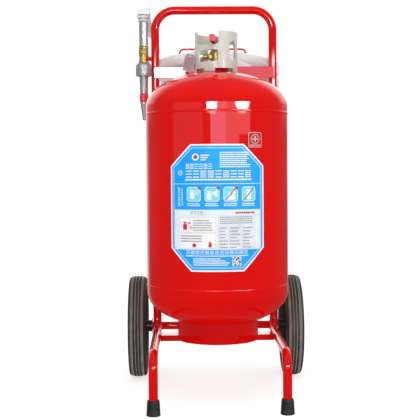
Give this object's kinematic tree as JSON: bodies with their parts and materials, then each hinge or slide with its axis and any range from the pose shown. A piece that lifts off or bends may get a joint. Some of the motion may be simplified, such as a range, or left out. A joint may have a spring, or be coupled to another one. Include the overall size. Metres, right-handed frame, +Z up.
{
  "type": "wheeled fire extinguisher",
  "caption": "Wheeled fire extinguisher: upright red tank with valve guard on a tube trolley, with rubber-tyred wheels, a folded canvas hose and a branch nozzle.",
  "frame": {"origin": "on the floor, under the middle of the box round the part without its hose", "axes": "+Z up, the front with the label faces -Y, +X to the right seen from the front, the wheel axle runs along X"},
  "size_m": [0.5402, 0.7072, 1.1515],
  "materials": {
    "red_paint": "high gloss enamel over welded steel",
    "black_rubber": "matt moulded rubber",
    "tyre_rubber": "matt grooved rubber, dusty in the grooves",
    "black_paint": "satin black enamel",
    "white_nylon": "plain moulded nylon",
    "zinc_steel": "zinc plated",
    "beige_paint": "satin warm grey enamel on pressed steel",
    "brass": "machined, bright",
    "aluminium": "machined, satin",
    "chrome": "polished plate",
    "dial_face": "printed",
    "lens_glass": "clear",
    "red_plastic": "dipped, glossy",
    "hose_canvas": "woven synthetic canvas",
    "tag_card": "printed card"
  },
  "bodies": {
    "trolley": {"handle_hoop": "red_paint", "left_leg": "red_paint", "right_leg": "red_paint", "upper_strap": "red_paint", "rear_tank_bar": "red_paint", "tank_saddle": "red_paint", "lower_crossbar": "red_paint", "axle_bracket_left": "red_paint", "axle_bracket_right": "red_paint", "axle_tube": "red_paint", "hose_rack": "red_paint", "nozzle_bracket": "red_paint", "tank_shell": "red_paint", "foot_ring": "red_paint", "neck_boss": "red_paint", "left_foot": "black_rubber", "right_foot": "black_rubber", "neck_gasket": "black_rubber", "dip_strainer": "white_nylon", "axle_rod": "zinc_steel", "axle_washer_left": "zinc_steel", "axle_washer_right": "zinc_steel", "axle_cap_left": "zinc_steel", "axle_cap_right": "zinc_steel", "valve_bonnet": "zinc_steel", "valve_spring": "zinc_steel", "lever_pivot_pin": "zinc_steel", "outlet_clamp": "zinc_steel", "hose_clamp_upper": "zinc_steel", "hose_clamp_lower": "zinc_steel", "valve_guard": "beige_paint", "valve_body": "brass", "gauge_stem": "brass", "outlet_fitting": "brass", "nozzle_coupling": "brass", "nozzle_nut": "brass", "dip_tube": "aluminium", "nozzle_tail": "aluminium", "nozzle_barrel": "aluminium", "nozzle_tip": "aluminium", "gauge_case": "chrome", "gauge_dial": "dial_face", "gauge_lens": "lens_glass", "nozzle_band": "red_plastic", "hose_supply": "hose_canvas", "hose_hank": "hose_canvas", "hose_riser": "hose_canvas", "hang_tag": "tag_card"},
    "wheel_left": {"tyre_left": "tyre_rubber", "wheel_rim_left": "black_paint", "hub_bush_left": "white_nylon"},
    "wheel_right": {"tyre_right": "tyre_rubber", "wheel_rim_right": "black_paint", "hub_bush_right": "white_nylon"},
    "valve_lever": {"lever_cam": "zinc_steel", "lever_handle": "red_plastic"},
    "valve_stem": {"valve_stem": "brass"},
    "safety_pin": {"safety_pin": "zinc_steel"},
    "gauge_needle": {"gauge_needle": "black_paint"},
    "nozzle_collar": {"nozzle_collar": "aluminium"}
  },
  "joints": [
    {"name": "wheel_left_spin", "type": "hinge", "parent": "trolley", "child": "wheel_left", "pos_m": [-0.2425, 0.1946, 0.159], "axis": [1, 0, 0], "continuous": true},
    {"name": "wheel_right_spin", "type": "hinge", "parent": "trolley", "child": "wheel_right", "pos_m": [0.2425, 0.1946, 0.159], "axis": [1, 0, 0], "continuous": true},
    {"name": "lever_lift", "type": "hinge", "parent": "trolley", "child": "valve_lever", "pos_m": [0, -0.1404, 1.0145], "axis": [-0.9848, 0.1736, 0], "range_deg": [0, 90]},
    {"name": "stem_press", "type": "slide", "parent": "trolley", "child": "valve_stem", "axis": [0, 0, -1], "range_m": [0, 0.004], "deforming": ["valve_spring"]},
    {"name": "safety_pin_pull", "type": "slide", "parent": "trolley", "child": "safety_pin", "axis": [0.9848, -0.1736, 0], "range_m": [0, 0.0185]},
    {"name": "gauge_needle_turn", "type": "hinge", "parent": "trolley", "child": "gauge_needle", "pos_m": [-0.0427, -0.1404, 0.972], "axis": [1, 0, 0], "range_deg": [-90, 90]},
    {"name": "nozzle_collar_turn", "type": "hinge", "parent": "trolley", "child": "nozzle_collar", "pos_m": [-0.213, 0.0596, 0.957], "axis": [0, 0, 1], "range_deg": [0, 90]}
  ],
  "couplings": [
    {"joint": "stem_press", "follows": "lever_lift", "m_per_rad": 0.00254}
  ]
}
